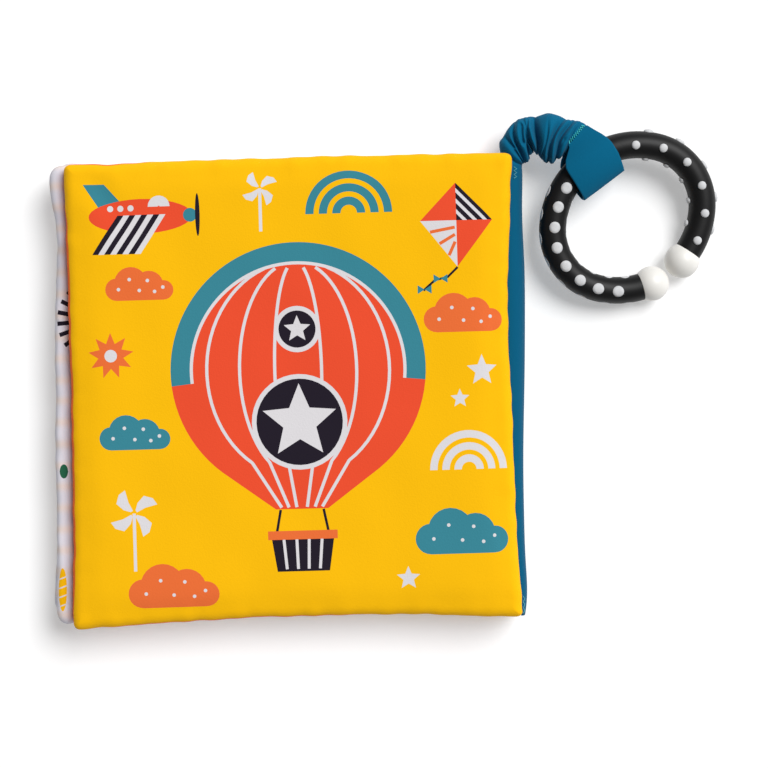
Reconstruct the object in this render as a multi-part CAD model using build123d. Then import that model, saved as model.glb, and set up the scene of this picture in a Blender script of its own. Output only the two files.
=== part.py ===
from build123d import *
import os
from math import asin, atan, atan2, cos, degrees, radians, sin, sqrt

# A padded cloth book for a baby, lying shut on its back cover, with a gathered strap sewn to its spine
# and an oval teether ring in the strap's loop. Millimetres; +Z is up through the closed book, +Y points to
# its head and +X to its spine. The origin is the middle of the back cover's flat underside.

# Covers
PANEL_WIDTH = 154.6
PANEL_HEIGHT = 159.6
COVER_THICKNESS = 6.0
COVER_CORNER_RADIUS = 2.8
COVER_EDGE_ROUND = 2.4
COVER_SKEW_DEG = 1.65
SOFT_GAP = 0.3

# How far each side of a panel draws in between its corners: free side, hinge side, head, tail
FRONT_FREE_DRAW = 0.9
FRONT_HINGE_DRAW = 2.6
FRONT_HEAD_DRAW = -0.8
FRONT_TAIL_DRAW = 1.5
BACK_DRAW = 1.2
LEAF_DRAW = 1.0

# Inner leaves, sewn together and to the spine
LEAF_COUNT = 2
LEAF_THICKNESS = 5.7
LEAF_END_INSET = 0.8
LEAF_OVERHANG = 6.6
LEAF_CORNER_RADIUS = 4.5
LEAF_EDGE_ROUND = 2.5
LEAF_SKEWS_DEG = (-0.4, 0.6)

# Spine, a padded strip from cover to cover
SPINE_TUCK = 5.3
SPINE_SHOULDER = 2.7
SPINE_BULGE = 3.7
SPINE_FRONT_INSET = 2.4
SPINE_BACK_INSET = 0.6
SPINE_END_INSET = 1.3

# Gathered sleeve of the strap, from the spine's head to the stitched throat of the loop
STRAP_ROOT_TUCK = 0.8
STRAP_REACH_X = 21.5
STRAP_REACH_Y = 11.8
SLEEVE_WIDTH = 17.0
SLEEVE_HEIGHT = 12.0
SLEEVE_SIDES = 24

# Puffs and creases of the sleeve: the place along and across the reach, as shares of STRAP_REACH_X and
# STRAP_REACH_Y, then width and height as shares of SLEEVE_WIDTH and SLEEVE_HEIGHT
SLEEVE_SHARES = (
    (0.00, 0.00, 0.45, 0.62),
    (-0.01, 0.20, 0.39, 0.54),
    (-0.03, 0.46, 0.62, 0.82),
    (-0.01, 0.67, 0.53, 0.74),
    (0.07, 0.82, 0.74, 0.95),
    (0.16, 0.87, 0.66, 0.80),
    (0.27, 0.88, 0.88, 1.00),
    (0.38, 0.86, 0.73, 0.80),
    (0.49, 0.83, 1.00, 1.00),
    (0.60, 0.83, 0.82, 0.82),
    (0.70, 0.83, 0.96, 0.96),
    (0.80, 0.86, 0.76, 0.74),
    (0.89, 0.91, 0.72, 0.64),
    (1.00, 1.00, 0.52, 0.34),
)

# Heading of each of those sections, in degrees from +X; the last one faces the ring
SLEEVE_HEADINGS_DEG = (90, 93, 80, 63, 42, 24, 9, 1, 0, -2, -7, -16, -30)

# Flat loop of the strap round the ring
LOOP_SLACK = 2.1
LOOP_CLOTH = 1.2
LOOP_FOLD_REACH = 1.9
LOOP_THROAT_REACH = 3.6
LOOP_FOLD_WIDTH = 17.8
LOOP_BELLY_WIDTH = 19.2
LOOP_THROAT_WIDTH = 9.2
LOOP_THROAT_SHIFT = 2.5
LOOP_SEAM_SHARE = 0.6

# Teether ring, an oval of four tangent arcs that opens opposite the loop
RING_HALF_LENGTH = 28.0
RING_HALF_WIDTH = 24.5
RING_TUBE_RADIUS = 4.75
RING_HEADING_DEG = 37.0
RING_TILT_DEG = 9.0
BALL_RADIUS = 6.17
BALL_GAP = 1.1

# Raised nubs on the half of the ring towards +X
NUB_BASE_RADIUS = 1.55
NUB_TOP_RADIUS = 1.2
NUB_RISE = 0.85
NUB_ROOT = 1.0
NUB_PITCH = 9.9
NUB_FIRST = 17.5

CUT_OVERRUN = 20.0

# Levels of the closed book
pages_z = COVER_THICKNESS + SOFT_GAP
front_z = pages_z + LEAF_COUNT * LEAF_THICKNESS + SOFT_GAP
book_height = front_z + COVER_THICKNESS
middle_z = book_height / 2
hinge_x = PANEL_WIDTH / 2
spine_inner_x = hinge_x - SPINE_TUCK
spine_head_y = PANEL_HEIGHT / 2 - SPINE_END_INSET


def panel_outline(width, height, corner_radius, free_draw, hinge_draw, head_draw, tail_draw):
    """Plan of a sewn panel: four corners joined by sides that bow in by the draws."""
    x = width / 2
    y = height / 2
    sides = [
        ThreePointArc((-x, -y), (0, tail_draw - y), (x, -y)),
        ThreePointArc((x, -y), (x - hinge_draw, 0), (x, y)),
        ThreePointArc((x, y), (0, y - head_draw), (-x, y)),
        ThreePointArc((-x, y), (free_draw - x, 0), (-x, -y)),
    ]
    plan = make_face(sides)
    return fillet(plan.vertices(), corner_radius)


def padded(plan, thickness, edge_round):
    """A plan given thickness, with both rims rounded."""
    pad = extrude(plan, amount=thickness)
    faces = pad.faces().sort_by(Axis.Z)
    rims = faces[0].edges() + faces[-1].edges()
    return fillet(rims, edge_round)


def cover_plan(draws, margin=0):
    """Plan of a cover, or of the room that it needs with a margin all round."""
    width = PANEL_WIDTH + 2 * margin
    height = PANEL_HEIGHT + 2 * margin
    return panel_outline(width, height, COVER_CORNER_RADIUS + margin, *draws)


def front_plan(margin=0):
    draws = (FRONT_FREE_DRAW, FRONT_HINGE_DRAW, FRONT_HEAD_DRAW, FRONT_TAIL_DRAW)
    return Rot(0, 0, COVER_SKEW_DEG) * cover_plan(draws, margin)


def back_plan(margin=0):
    return cover_plan([BACK_DRAW] * 4, margin)


def front_cover():
    return Pos(0, 0, front_z) * padded(front_plan(), COVER_THICKNESS, COVER_EDGE_ROUND)


def back_cover():
    return padded(back_plan(), COVER_THICKNESS, COVER_EDGE_ROUND)


def pages():
    """Padded leaves stacked face to face, trimmed where they are sewn to the spine."""
    fore_edge_x = -hinge_x - LEAF_OVERHANG
    width = spine_inner_x + SPINE_TUCK - fore_edge_x
    height = PANEL_HEIGHT - 2 * LEAF_END_INSET
    draws = [LEAF_DRAW] * 4
    plan = panel_outline(width, height, LEAF_CORNER_RADIUS, *draws)
    leaf = padded(plan, LEAF_THICKNESS, LEAF_EDGE_ROUND)
    centre_x = fore_edge_x + width / 2
    block = Part()
    for number in range(LEAF_COUNT):
        skew = LEAF_SKEWS_DEG[number % len(LEAF_SKEWS_DEG)]
        block += Pos(centre_x, 0, pages_z + number * LEAF_THICKNESS) * Rot(0, 0, skew) * leaf
    beyond = Box(
        2 * SPINE_TUCK + CUT_OVERRUN, PANEL_HEIGHT + CUT_OVERRUN, book_height,
        align=(Align.MIN, Align.CENTER, Align.MIN),
    )
    return block - Pos(spine_inner_x, 0, 0) * beyond


def spine():
    """A strip with a bowed back, rebated along both edges to clear the covers."""
    low = SPINE_BACK_INSET
    high = book_height - SPINE_FRONT_INSET
    shoulder_x = hinge_x + SPINE_SHOULDER
    bulge_x = hinge_x + SPINE_BULGE
    outline = [
        Line((spine_inner_x, low), (shoulder_x, low)),
        ThreePointArc((shoulder_x, low), (bulge_x, middle_z), (shoulder_x, high)),
        Line((shoulder_x, high), (spine_inner_x, high)),
        Line((spine_inner_x, high), (spine_inner_x, low)),
    ]
    strip = extrude(Plane.XZ * make_face(outline), amount=spine_head_y, both=True)
    front_room = extrude(front_plan(SOFT_GAP), amount=COVER_THICKNESS + CUT_OVERRUN)
    back_room = extrude(back_plan(SOFT_GAP), amount=-COVER_THICKNESS - CUT_OVERRUN)
    return strip - Pos(0, 0, front_z - SOFT_GAP) * front_room - Pos(0, 0, pages_z) * back_room


# Oval of the ring: flatter arcs at the loop and at the gap, tighter arcs at the two ends
end_radius = RING_HALF_WIDTH**2 / RING_HALF_LENGTH
flat_radius = (RING_HALF_LENGTH**2 + RING_HALF_WIDTH**2 - 2 * RING_HALF_LENGTH * end_radius) / (
    2 * (RING_HALF_WIDTH - end_radius)
)
flat_centre_v = flat_radius - RING_HALF_WIDTH
flat_half_deg = degrees(atan((RING_HALF_LENGTH - end_radius) / flat_centre_v))
ball_seat = sqrt(BALL_RADIUS**2 - RING_TUBE_RADIUS**2)
mouth_deg = degrees(
    asin((BALL_RADIUS + BALL_GAP / 2) / sqrt(flat_radius**2 + ball_seat**2)) + atan2(ball_seat, flat_radius)
)
ball_v = flat_centre_v - flat_radius * cos(radians(mouth_deg)) - ball_seat * sin(radians(mouth_deg))

# Frame of the ring: u along its length, v towards the loop, w square to it
heading = radians(RING_HEADING_DEG)
tilt = radians(RING_TILT_DEG)
u_axis = Vector(cos(heading), sin(heading), 0)
v_axis = Vector(-sin(heading) * cos(tilt), cos(heading) * cos(tilt), sin(tilt))
w_axis = u_axis.cross(v_axis)
loop_inner_radius = RING_TUBE_RADIUS + LOOP_SLACK
loop_outer_radius = loop_inner_radius + LOOP_CLOTH
seam_v = RING_HALF_WIDTH + LOOP_THROAT_REACH + loop_inner_radius + LOOP_SEAM_SHARE * LOOP_CLOTH

# The strap's reach places the ring in plan, and the balls stand it on the floor
root_x = hinge_x - STRAP_ROOT_TUCK
ring_x = root_x + STRAP_REACH_X - LOOP_THROAT_SHIFT * u_axis.X - seam_v * v_axis.X
ring_y = spine_head_y + STRAP_REACH_Y - LOOP_THROAT_SHIFT * u_axis.Y - seam_v * v_axis.Y
ring_z = BALL_RADIUS - ball_v * v_axis.Z
ring_plane = Plane(origin=(ring_x, ring_y, ring_z), x_dir=u_axis, z_dir=w_axis)


def ring_path():
    """The tube's middle line, from the mouth's +u side round past the loop to its other side."""
    start = radians(mouth_deg)
    point = (flat_radius * sin(start), flat_centre_v - flat_radius * cos(start))
    along = (cos(start), sin(start))
    side_deg = 180 - 2 * flat_half_deg
    turns = (
        (flat_radius, flat_half_deg - mouth_deg),
        (end_radius, side_deg),
        (flat_radius, 2 * flat_half_deg),
        (end_radius, side_deg),
        (flat_radius, flat_half_deg - mouth_deg),
    )
    arcs = []
    for radius, turn in turns:
        arc = JernArc(point, along, radius, turn)
        arcs.append(arc)
        point = arc @ 1
        along = arc % 1
    return Wire(arcs)


path = ring_path()


def ring_sleeve():
    section = Plane(path @ 0, z_dir=path % 0) * Circle(RING_TUBE_RADIUS)
    return ring_plane * sweep(section, path=path)


def ring_balls():
    """A ball on each end of the sleeve, turned with a flat seat as wide as the tube."""
    tip = ball_seat + BALL_RADIUS
    outline = [
        Line((0, 0), (RING_TUBE_RADIUS, 0)),
        ThreePointArc((RING_TUBE_RADIUS, 0), (BALL_RADIUS, ball_seat), (0, tip)),
        Line((0, tip), (0, 0)),
    ]
    ball = revolve(Plane.XZ * make_face(outline), Axis.Z)
    ends = ((path @ 0, -(path % 0)), (path @ 1, path % 1))
    return Compound([ring_plane * Plane(end, z_dir=outward) * ball for end, outward in ends])


def ring_nubs(sleeve):
    """Tapered nubs in four rows, with the outer and inner rows between the front and back ones."""
    half = path.length / 2
    nub = Pos(0, 0, RING_TUBE_RADIUS - NUB_ROOT) * Cone(
        NUB_BASE_RADIUS, NUB_TOP_RADIUS, NUB_ROOT + NUB_RISE, align=(Align.CENTER, Align.CENTER, Align.MIN)
    )
    nubs = []
    for row in range(4):
        from_loop = NUB_FIRST + (row % 2) * NUB_PITCH / 2
        while from_loop < half - 2 * NUB_BASE_RADIUS:
            place = (half - from_loop) / path.length
            station = Plane(path @ place, x_dir=(0, 0, 1), z_dir=path % place)
            pointing = Rot(0, 0, row * 90) * Rot(0, 90, 0)
            nubs.append(ring_plane * station * pointing * nub - sleeve)
            from_loop += NUB_PITCH
    return Compound([solid for shape in nubs for solid in shape.solids()])


def strap_loop():
    """A band folded round the ring, tapering to its stitched throat."""
    band_v = RING_HALF_WIDTH + (LOOP_THROAT_REACH - LOOP_FOLD_REACH) / 2
    spread = LOOP_FOLD_REACH + LOOP_THROAT_REACH
    section = SlotCenterToCenter(spread, 2 * loop_outer_radius) - SlotCenterToCenter(spread, 2 * loop_inner_radius)
    across = ring_plane * Plane((0, band_v, 0), x_dir=(0, 1, 0), z_dir=(1, 0, 0))
    band = extrude(across * section, amount=LOOP_BELLY_WIDTH, both=True)
    fold_v = RING_HALF_WIDTH - LOOP_FOLD_REACH - loop_outer_radius
    throat_v = RING_HALF_WIDTH + LOOP_THROAT_REACH + loop_outer_radius
    fold = LOOP_FOLD_WIDTH / 2
    belly = LOOP_BELLY_WIDTH / 2
    throat = LOOP_THROAT_WIDTH / 2
    left_throat = (LOOP_THROAT_SHIFT - throat, throat_v)
    right_throat = (LOOP_THROAT_SHIFT + throat, throat_v)
    plan = [
        Line((-fold, fold_v), (fold, fold_v)),
        ThreePointArc((fold, fold_v), (belly, RING_HALF_WIDTH), right_throat),
        Line(right_throat, left_throat),
        ThreePointArc(left_throat, (-belly, RING_HALF_WIDTH), (-fold, fold_v)),
    ]
    return band & extrude(ring_plane * make_face(plan), amount=2 * loop_outer_radius, both=True)


def strap():
    """The gathered sleeve, ruled from crease to puff to crease, and the loop in one cloth."""
    root = Vector(root_x, spine_head_y, middle_z)
    throat = ring_plane.from_local_coords(Vector(LOOP_THROAT_SHIFT, seam_v, 0))
    rise = throat.Z - root.Z
    headings = [*SLEEVE_HEADINGS_DEG, RING_HEADING_DEG - 90]
    sections = []
    for (along, across, wide, high), heading_deg in zip(SLEEVE_SHARES, headings):
        centre = root + Vector(along * STRAP_REACH_X, across * STRAP_REACH_Y, max(along, 0) * rise)
        facing = Vector(cos(radians(heading_deg)), sin(radians(heading_deg)), 0)
        level = Vector(facing.Y, -facing.X, 0)
        plane = Plane(centre, x_dir=level, z_dir=facing)
        corners = []
        for number in range(SLEEVE_SIDES):
            turn = radians(360 * (number + 0.5) / SLEEVE_SIDES)
            corners.append((wide * SLEEVE_WIDTH / 2 * cos(turn), high * SLEEVE_HEIGHT / 2 * sin(turn)))
        sections.append(plane * make_face(Polyline(corners, close=True)))
    return loft(sections, ruled=True) + strap_loop()


def main():
    os.makedirs("parts", exist_ok=True)
    sleeve = ring_sleeve()
    nodes = {
        "front_cover": front_cover(),
        "back_cover": back_cover(),
        "pages": pages(),
        "spine": spine(),
        "strap": strap(),
        "ring_sleeve": sleeve,
        "ring_balls": ring_balls(),
        "ring_nubs": ring_nubs(sleeve),
    }
    for name, shape in nodes.items():
        export_step(shape, f"parts/{name}.step")


main()
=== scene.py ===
import math

import bpy
import numpy as np
from numpy import column_stack
from numpy.linalg import norm
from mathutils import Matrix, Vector
from mathutils.geometry import delaunay_2d_cdt


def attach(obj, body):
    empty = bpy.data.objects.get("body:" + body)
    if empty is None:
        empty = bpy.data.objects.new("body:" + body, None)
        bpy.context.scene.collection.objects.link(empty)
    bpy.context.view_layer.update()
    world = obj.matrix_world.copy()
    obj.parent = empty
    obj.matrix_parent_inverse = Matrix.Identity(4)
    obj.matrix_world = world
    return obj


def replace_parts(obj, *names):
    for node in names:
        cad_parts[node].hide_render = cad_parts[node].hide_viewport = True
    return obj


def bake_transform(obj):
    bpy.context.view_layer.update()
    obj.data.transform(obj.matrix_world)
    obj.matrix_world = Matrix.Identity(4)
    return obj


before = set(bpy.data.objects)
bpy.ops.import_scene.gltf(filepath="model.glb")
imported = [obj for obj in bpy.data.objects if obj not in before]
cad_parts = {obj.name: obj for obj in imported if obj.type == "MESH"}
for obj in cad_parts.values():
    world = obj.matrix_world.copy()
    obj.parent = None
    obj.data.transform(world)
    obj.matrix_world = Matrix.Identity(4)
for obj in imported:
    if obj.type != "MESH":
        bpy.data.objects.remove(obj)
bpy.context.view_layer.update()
scene = bpy.context.scene

# A padded cloth book with a gathered strap and a teether ring, dressed over its CAD frame. The values below
# are millimetres and degrees, as in the part's source; meshes are made in metres.
MM = 0.001
TURN = 2 * math.pi

# Sizes that the cloth shares with the CAD part
PANEL_WIDTH = 154.6
PANEL_HEIGHT = 159.6
COVER_SKEW_DEG = 1.65
COVER_CORNER = 2
FRONT_DRAWS = (0.2, 2.6, -0.8, 1.5)
BACK_DRAWS = (1.2, 1.2, 1.2, 1.2)
LEAF_DRAWS = (1, 1, 1, 1)
LEAF_WIDTH = 161.2
LEAF_HEIGHT = 158
LEAF_CENTRE_X = -3.3
LEAF_CORNER = 4.5
LEAF_SKEWS_DEG = (-0.4, 0.6)
FRONT_Z = (18, 24)
FRONT_LIMITS = (17.9, 26)
BACK_Z = (0, 6)
BACK_LIMITS = (0, 6.2)
LEAF_Z = ((6.4, 12), (12, 17.6))
SPINE_OUT_X = 80.9
SPINE_MID_Z = 12
SPINE_HALF_LENGTH = 78.3
SPINE_HALF_HEIGHT = 8.9
SPINE_TUCK = 0.4
SPINE_ROUND = 0.8
SPINE_DRAW = 0.7
SPINE_CLOTH = 0.7
SPINE_END_IN = 0.9
SPINE_END_X = 72.5
SPINE_END_Z = (6.6, 17.5)
FRONT_BEND_DEG = 58
BACK_BEND_DEG = 122
BEND_LAP_DEG = 0.5
BEND_END_DEG = 4
STITCH_COUNT = 7
STITCH_TURNS_DEG = (16, 28)
STITCH_RADIUS = 0.18
STITCHES_HEAD_Y = (73.5, 77.5)
STITCHES_TAIL_Y = (-77.5, -71.5)
SPINE_WAVES = ((63, -1, 16), (-25, -0.6, 26), (-72, 0.9, 12))

# Ring frame: centre, then u along its length, v towards the loop and w square to it
RING_CENTRE = np.array((117.2059, 60.6589, 9.9247))
RING_U = np.array((0.798636, 0.601815, 0))
RING_V = np.array((-0.594406, 0.788803, 0.156434))
RING_W = np.array((0.094145, -0.124934, 0.987688))
RING_HALF_LENGTH = 28
RING_HALF_WIDTH = 24.5
RING_TUBE = 4.75
RING_END = RING_HALF_WIDTH**2 / RING_HALF_LENGTH
RING_FLAT = (RING_HALF_LENGTH**2 + RING_HALF_WIDTH**2 - 2 * RING_HALF_LENGTH * RING_END) / (
    2 * (RING_HALF_WIDTH - RING_END)
)
RING_FLAT_V = RING_FLAT - RING_HALF_WIDTH
RING_FLAT_TURN = math.atan((RING_HALF_LENGTH - RING_END) / RING_FLAT_V)
RING_GAP_DEG = 20.31
RING_ARCS = (
    (RING_FLAT, RING_FLAT_TURN, (0, -RING_FLAT_V)),
    (RING_END, math.pi - 2 * RING_FLAT_TURN, (RING_HALF_LENGTH - RING_END, 0)),
    (RING_FLAT, RING_FLAT_TURN, (0, RING_FLAT_V)),
)
NUB_RADIUS = 1.5
NUB_RISE = 0.85
NUB_PITCH = 9.9
NUB_FIRST = 17.5
NUB_END_GAP = 3.1
NUB_TURNS_DEG = (0, 22, 45, 65, 80, 89.9)
SPOT_RADIUS = 1.99
SPOT_PITCH = 7.2
SPOT_FIRST = 12.15
SPOT_COUNT = 8
SPOT_LIFT = 0.04
SPOT_END_GAP = 2.2
CAP_SIDES = 18

# Filling of the padded panels, as a cloth simulation under pressure
FILL_PRESSURE = 4
FILL_FRAMES = 20
FILL_QUALITY = 6
FILL_MASS = 0.3
FILL_CAP = 1.6
FILL_DRAW_SHARE = 0.3
SEAM_GROWTH = 0.55
SEAM_WANDER = 0.22
SEAM_ROLL = 3.6
PUCKER_HEIGHT = 0.18
WAVE_HEIGHT = 0.42
FACE_STEPS = (2.3, 3.2)

# Where an edge lies further out or in than its plain outline: place, push and reach
FRONT_PUSHES = (
    ((-77.3, -79.8), (-1, -0.9), 42),
    ((77.3, -79.8), (-0.2, -0.9), 30),
    ((77.3, -18), (0.8, 0), 28),
    ((77.3, 66), (0.6, 0), 22),
)
LEAF_PUSHES = (
    ((-80.6, 72), (-0.9, 0), 9),
    ((-80.6, 52), (1.2, 0), 13),
    ((-80.6, 10), (-0.5, 0), 25),
    ((-80.6, -22), (-0.7, 0), 14),
    ((-80.6, -81), (0.4, -2.2), 9),
)

# Where the front cover's lining rolls out past its seam: limits of x and y, and how far
EDGING_PLACES = ((-99, -70, -74, 60, 1), (-66, 20, -99, -70, 0.3), (-74, -52, 70, 99, 0.5))
EDGING_LEAST = 0.05

# Mesh of the panels
FILL_STEP = 5
FILL_BLUR = 3
EDGE_RINGS = (0.35, 0.9, 1.6, 2.5, 3.6, 5, 7)
COARSE_RINGS = (2.4,)
GRID_MARGIN = 1.5
OUTLINE_STEP = 1.7
RELIEF_STEP = 1.25

# Camera and light
CAMERA_AT = (31.4, 2.1, 740)
CAMERA_LENS = 97.12
CAMERA_SENSOR = 36
WORLD_LEVEL = 0.16
SUN_LEVEL = 3.3
SUN_TRAVEL = (-0.54, -0.46, -1)
SUN_SPREAD_DEG = 36
FLOOR_GLOW = 0.34
FLOOR_WHITE = 0.72
FLOOR_REACH = 3000
FLOOR_Z = -0.05

# Fine texture of the materials: scales of noise and bands, and depths of bump in metres
WEAVE_SCALE = 1900
WEAVE_BUMP = 0.0003
GRAIN_SCALE = 900
GRAIN_BUMP = 0.0002
SPECKLE_SCALE = 2200
STRAND_SCALE = 3200
BAND_SCALE = 42
BAND_POWER = 2.2

# Colours, in sRGB out of 255
COLOURS = {
    "yellow": (252, 190, 8),
    "orange": (237, 80, 48),
    # lining_edge is the lining's orange made lighter: painted light on the rolled edge, which faces away
    # from the sun
    "lining_edge": (255, 116, 46),
    "coral": (236, 112, 56),
    "teal": (58, 134, 150),
    "ink": (35, 29, 41),
    "white": (222, 219, 222),
    "page": (224, 222, 231),
    "peach": (238, 212, 190),
    "green": (39, 99, 72),
    "strap": (2, 98, 134),
    # spine is the strap's teal made darker: painted shade on the book's spine
    "spine": (2, 88, 122),
    "thread": (66, 208, 210),
    "stitch": (84, 168, 186),
    "rubber": (14, 14, 15),
    "ball": (238, 236, 231),
    "spot": (214, 215, 217),
}


# Materials

def linear(name):
    """A named colour as linear light."""
    out = []
    for part in COLOURS[name]:
        c = part / 255
        out.append(c / 12.92 if c <= 0.04045 else ((c + 0.055) / 1.055) ** 2.4)
    return (*out, 1)


def darker(name, share):
    """A named colour as linear light, times a share."""
    return (*(part * share for part in linear(name)[:3]), 1)


def set_inputs(node, values):
    for key, value in values.items():
        node.inputs[key].default_value = value


def new_material(name, roughness, specular):
    material = bpy.data.materials.new(name)
    material.use_nodes = True
    shader = material.node_tree.nodes["Principled BSDF"]
    set_inputs(shader, {"Base Color": linear(name), "Roughness": roughness, "Specular IOR Level": specular})
    return material, material.node_tree, shader


def noise(tree, scale, detail):
    """Output of a noise in the object's own place."""
    place = tree.nodes.new("ShaderNodeTexCoord")
    node = tree.nodes.new("ShaderNodeTexNoise")
    set_inputs(node, {"Scale": scale, "Detail": detail})
    tree.links.new(place.outputs["Object"], node.inputs["Vector"])
    return node.outputs["Fac"]


def add_bump(tree, shader, height, strength, distance):
    bump = tree.nodes.new("ShaderNodeBump")
    set_inputs(bump, {"Strength": strength, "Distance": distance})
    tree.links.new(height, bump.inputs["Height"])
    tree.links.new(bump.outputs["Normal"], shader.inputs["Normal"])


def tint(tree, shader, name, factor, other, amount):
    """Mixes the base colour towards another by an output times an amount."""
    scale = tree.nodes.new("ShaderNodeMath")
    scale.operation = "MULTIPLY"
    mix = tree.nodes.new("ShaderNodeMix")
    mix.data_type = "RGBA"
    set_inputs(scale, {1: amount})
    set_inputs(mix, {"A": linear(name), "B": other})
    tree.links.new(factor, scale.inputs[0])
    tree.links.new(scale.outputs["Value"], mix.inputs["Factor"])
    tree.links.new(mix.outputs["Result"], shader.inputs["Base Color"])


def cloth_material(name, sheen=0.03):
    """Printed woven cloth: matt, with a fine weave and slightly uneven dye."""
    material, tree, shader = new_material(name, roughness=0.85, specular=0.08)
    set_inputs(shader, {"Sheen Weight": sheen, "Sheen Roughness": 0.5})
    weave = noise(tree, WEAVE_SCALE, detail=2)
    add_bump(tree, shader, weave, 0.25, WEAVE_BUMP)
    tint(tree, shader, name, weave, darker(name, 0.8), amount=0.25)
    return material


def page_material(name):
    """White woven cloth with soft peach bands across the page."""
    material, tree, shader = new_material(name, roughness=0.85, specular=0.15)
    place = tree.nodes.new("ShaderNodeTexCoord")
    bands = tree.nodes.new("ShaderNodeTexWave")
    bands.bands_direction = "Y"
    set_inputs(bands, {"Scale": BAND_SCALE, "Distortion": 1.4, "Detail Scale": 0.6})
    tree.links.new(place.outputs["Object"], bands.inputs["Vector"])
    power = tree.nodes.new("ShaderNodeMath")
    power.operation = "POWER"
    set_inputs(power, {1: BAND_POWER})
    tree.links.new(bands.outputs["Fac"], power.inputs[0])
    tint(tree, shader, name, power.outputs["Value"], linear("peach"), amount=0.5)
    add_bump(tree, shader, noise(tree, WEAVE_SCALE, detail=2), 0.2, WEAVE_BUMP)
    return material


def rubber_material(name, roughness, specular, strength):
    """Moulded rubber with a fine grain."""
    material, tree, shader = new_material(name, roughness, specular)
    add_bump(tree, shader, noise(tree, GRAIN_SCALE, detail=2), strength, GRAIN_BUMP)
    return material


def thread_material(name):
    """Twisted thread, lighter and darker along its strands."""
    material, tree, shader = new_material(name, roughness=0.5, specular=0.3)
    strands = noise(tree, STRAND_SCALE, detail=1)
    add_bump(tree, shader, strands, 0.3, GRAIN_BUMP)
    tint(tree, shader, name, strands, darker(name, 0.6), amount=0.35)
    return material


def spot_material(name):
    """Matt inlay with a fine speckle."""
    material, tree, shader = new_material(name, roughness=0.6, specular=0.3)
    tint(tree, shader, name, noise(tree, SPECKLE_SCALE, detail=1), darker(name, 0.7), amount=0.5)
    return material


def make_materials():
    prints = ("yellow", "orange", "lining_edge", "coral", "teal", "ink", "white", "green")
    made = {name: cloth_material(name) for name in prints}
    # The spine's cloth is a darker copy of the strap's: painted shade
    made |= {name: cloth_material(name, sheen=0.05) for name in ("strap", "spine")}
    made["page"] = page_material("page")
    made |= {name: thread_material(name) for name in ("thread", "stitch")}
    made["rubber"] = rubber_material("rubber", roughness=0.5, specular=0.3, strength=0.08)
    made["ball"] = rubber_material("ball", roughness=0.38, specular=0.4, strength=0.04)
    made["spot"] = spot_material("spot")
    return made


MATERIALS = make_materials()


# Meshes

def mesh_object(name, points, faces, colours, face_colours=None):
    """A smooth-shaded object from points in millimetres."""
    mesh = bpy.data.meshes.new(name)
    mesh.from_pydata([tuple(p) for p in np.asarray(points, float) * MM], [], [tuple(f) for f in faces])
    for colour in colours:
        mesh.materials.append(MATERIALS[colour])
    if face_colours is not None:
        mesh.polygons.foreach_set("material_index", np.asarray(face_colours, np.int32))
    mesh.shade_smooth()
    mesh.update()
    piece = bpy.data.objects.new(name, mesh)
    scene.collection.objects.link(piece)
    return piece


def grid_faces(rows, columns, closed=False):
    """Quads of a grid of points; closed joins the last column to the first."""
    faces = []
    for r in range(rows - 1):
        for c in range(columns if closed else columns - 1):
            d = (c + 1) % columns
            faces.append((r * columns + c, r * columns + d, (r + 1) * columns + d, (r + 1) * columns + c))
    return faces


def thicken(piece, thickness, offset):
    """Gives a sheet its thickness."""
    solid = piece.modifiers.new("cloth", "SOLIDIFY")
    solid.thickness = thickness * MM
    solid.offset = offset
    bpy.context.view_layer.objects.active = piece
    with bpy.context.temp_override(object=piece, active_object=piece):
        bpy.ops.object.modifier_apply(modifier=solid.name)


def soft_noise(x, y, wavelength, seed):
    """Smooth noise from minus one to one, from six seeded waves."""
    rng = np.random.default_rng(seed)
    total = np.zeros_like(x, float)
    for _ in range(6):
        turn = rng.uniform(0, TURN)
        length = wavelength * rng.uniform(0.7, 1.5)
        phase = rng.uniform(0, TURN)
        total += np.sin((x * math.cos(turn) + y * math.sin(turn)) * TURN / length + phase)
    return total / 6


def smooth_step(t):
    t = np.clip(t, 0, 1)
    return t * t * (3 - 2 * t)


def unit(rows):
    return rows / norm(rows, axis=1, keepdims=True)


# Printed shapes, each a colour and an outline

def disc(colour, x, y, radius, count=28, tall=None):
    tall = radius if tall is None else tall
    angles = np.linspace(0, TURN, count, endpoint=False)
    return colour, column_stack((x + radius * np.cos(angles), y + tall * np.sin(angles)))


def star(colour, x, y, radius, points=5, waist=0.45):
    angles = math.pi / 2 + np.arange(2 * points) * math.pi / points
    reach = np.where(np.arange(2 * points) % 2 == 0, radius, waist * radius)
    return colour, column_stack((x + reach * np.cos(angles), y + reach * np.sin(angles)))


def stars(colour, *rows):
    return [star(colour, *row) for row in rows]


def arch(colour, x, y, outer, inner, start_deg=0, end_deg=180, count=24):
    angles = np.radians(np.linspace(start_deg, end_deg, count))
    ring = column_stack((np.cos(angles), np.sin(angles)))
    return colour, np.vstack((ring * outer, ring[::-1] * inner)) + (x, y)


def stroke(colour, line, width):
    """A line drawn with a given width, with square ends."""
    line = np.asarray(line, float)
    along = unit(np.gradient(line, axis=0))
    side = column_stack((-along[:, 1], along[:, 0])) * width / 2
    return colour, np.vstack((line + side, (line - side)[::-1]))


def polygon(colour, *points):
    return colour, np.asarray(points, float)


def moved(shapes, x, y):
    return [(colour, outline + (x, y)) for colour, outline in shapes]


# Puffs of a cloud as place and radius, and its dots, in shares of its width
CLOUD_PUFFS = ((-0.33, 0.16), (-0.12, 0.24), (0.14, 0.21), (0.35, 0.14))
CLOUD_DOTS = ((-0.3, 0.16), (-0.14, 0.3), (0, 0.14), (0.12, 0.28), (0.22, 0.12), (0.34, 0.18))
CLOUD_DOT_RADIUS = 0.65

# One sail of a pinwheel, in shares of its radius
SAIL = np.array(((0.12, 0), (0.5, 0.05), (1, 0), (0.92, 0.3), (0.62, 0.52), (0.28, 0.34), (0.1, 0.1)))


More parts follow.
